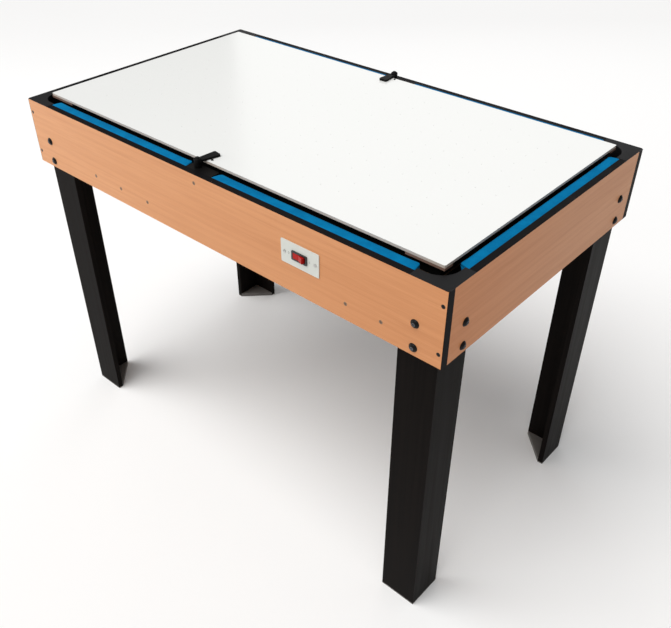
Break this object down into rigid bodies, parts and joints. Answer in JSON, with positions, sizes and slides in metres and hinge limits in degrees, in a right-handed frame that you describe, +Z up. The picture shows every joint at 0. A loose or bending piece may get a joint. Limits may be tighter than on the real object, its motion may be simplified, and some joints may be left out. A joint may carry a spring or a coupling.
{
  "type": "air hockey table",
  "caption": "Home air hockey table: beech-foil cabinet on black L-section legs, white perforated playing board held by swivel clips, blue felt cushions, rocker switch and inner blower.",
  "frame": {"origin": "floor, under the centre of the table", "axes": "+X along the long side to the right, -Y towards the long side with the switch, +Z up"},
  "size_m": [1.0788, 0.6229, 0.7899],
  "materials": {
    "beech_foil": "satin foil",
    "black_edge": "satin",
    "black_plastic": "satin",
    "blue_felt": "felt",
    "raw_board": "raw",
    "black_board": "matt black paint",
    "hardboard": "raw",
    "white_laminate": "gloss",
    "leg_foil": "satin foil",
    "foot_plastic": "matte",
    "black_steel": "satin",
    "zinc_steel": "bright",
    "foam_rubber": "matte",
    "switch_grey": "satin",
    "switch_black": "satin",
    "rocker_red": "gloss",
    "motor_steel": "satin",
    "impeller_plastic": "matte",
    "cable_jacket": "satin"
  },
  "bodies": {
    "table": {"apron_front": "beech_foil", "apron_back": "beech_foil", "apron_right": "beech_foil", "apron_left": "beech_foil", "end_edging": "black_edge", "top_trim_front": "black_edge", "top_trim_back": "black_edge", "top_trim_right": "black_edge", "top_trim_left": "black_edge", "corner_pocket_front_right": "black_plastic", "corner_pocket_front_left": "black_plastic", "corner_pocket_back_right": "black_plastic", "corner_pocket_back_left": "black_plastic", "middle_block_front": "black_plastic", "middle_block_back": "black_plastic", "cushion_front_left": "blue_felt", "cushion_front_right": "blue_felt", "cushion_back_left": "blue_felt", "cushion_back_right": "blue_felt", "cushion_right": "blue_felt", "cushion_left": "blue_felt", "bed_batten_front": "raw_board", "bed_batten_back": "raw_board", "cleat_front_left": "raw_board", "cleat_front_right": "raw_board", "cleat_back": "raw_board", "board_pads": "raw_board", "bed_panel": "black_board", "board_frame": "black_board", "bottom_panel": "hardboard", "board_floor": "hardboard", "board_panel": "white_laminate", "leg_front_right_wide": "leg_foil", "leg_front_right_narrow": "leg_foil", "leg_front_left_wide": "leg_foil", "leg_front_left_narrow": "leg_foil", "leg_back_right_wide": "leg_foil", "leg_back_right_narrow": "leg_foil", "leg_back_left_wide": "leg_foil", "leg_back_left_narrow": "leg_foil", "leg_feet": "foot_plastic", "leg_bolts": "black_steel", "corner_screws": "black_steel", "short_screws": "black_steel", "clip_screws": "black_steel", "leg_nuts": "zinc_steel", "plate_screws": "zinc_steel", "duct_gasket": "foam_rubber", "switch_plate": "switch_grey", "switch_body": "switch_black", "power_inlet": "switch_black", "blower_housing": "switch_black", "blower_guard": "switch_black", "blower_motor": "motor_steel", "wiring": "cable_jacket"},
    "rocker": {"switch_rocker": "rocker_red"},
    "front_clip": {"clip_front": "black_plastic"},
    "back_clip": {"clip_back": "black_plastic"},
    "rotor": {"blower_shaft": "zinc_steel", "blower_impeller": "impeller_plastic"}
  },
  "joints": [
    {"name": "switch_rock", "type": "hinge", "parent": "table", "child": "rocker", "pos_m": [0.25, -0.303, 0.707], "axis": [0, 0, 1], "range_deg": [0, 24]},
    {"name": "front_clip_turn", "type": "hinge", "parent": "table", "child": "front_clip", "pos_m": [-0.02, -0.28, 0.78], "axis": [0, 0, 1], "range_deg": [0, 98]},
    {"name": "back_clip_turn", "type": "hinge", "parent": "table", "child": "back_clip", "pos_m": [-0.02, 0.28, 0.78], "axis": [0, 0, 1], "range_deg": [-90, 0]},
    {"name": "impeller_spin", "type": "hinge", "parent": "table", "child": "rotor", "pos_m": [0, 0, 0.7], "axis": [0, 0, 1], "continuous": true}
  ]
}
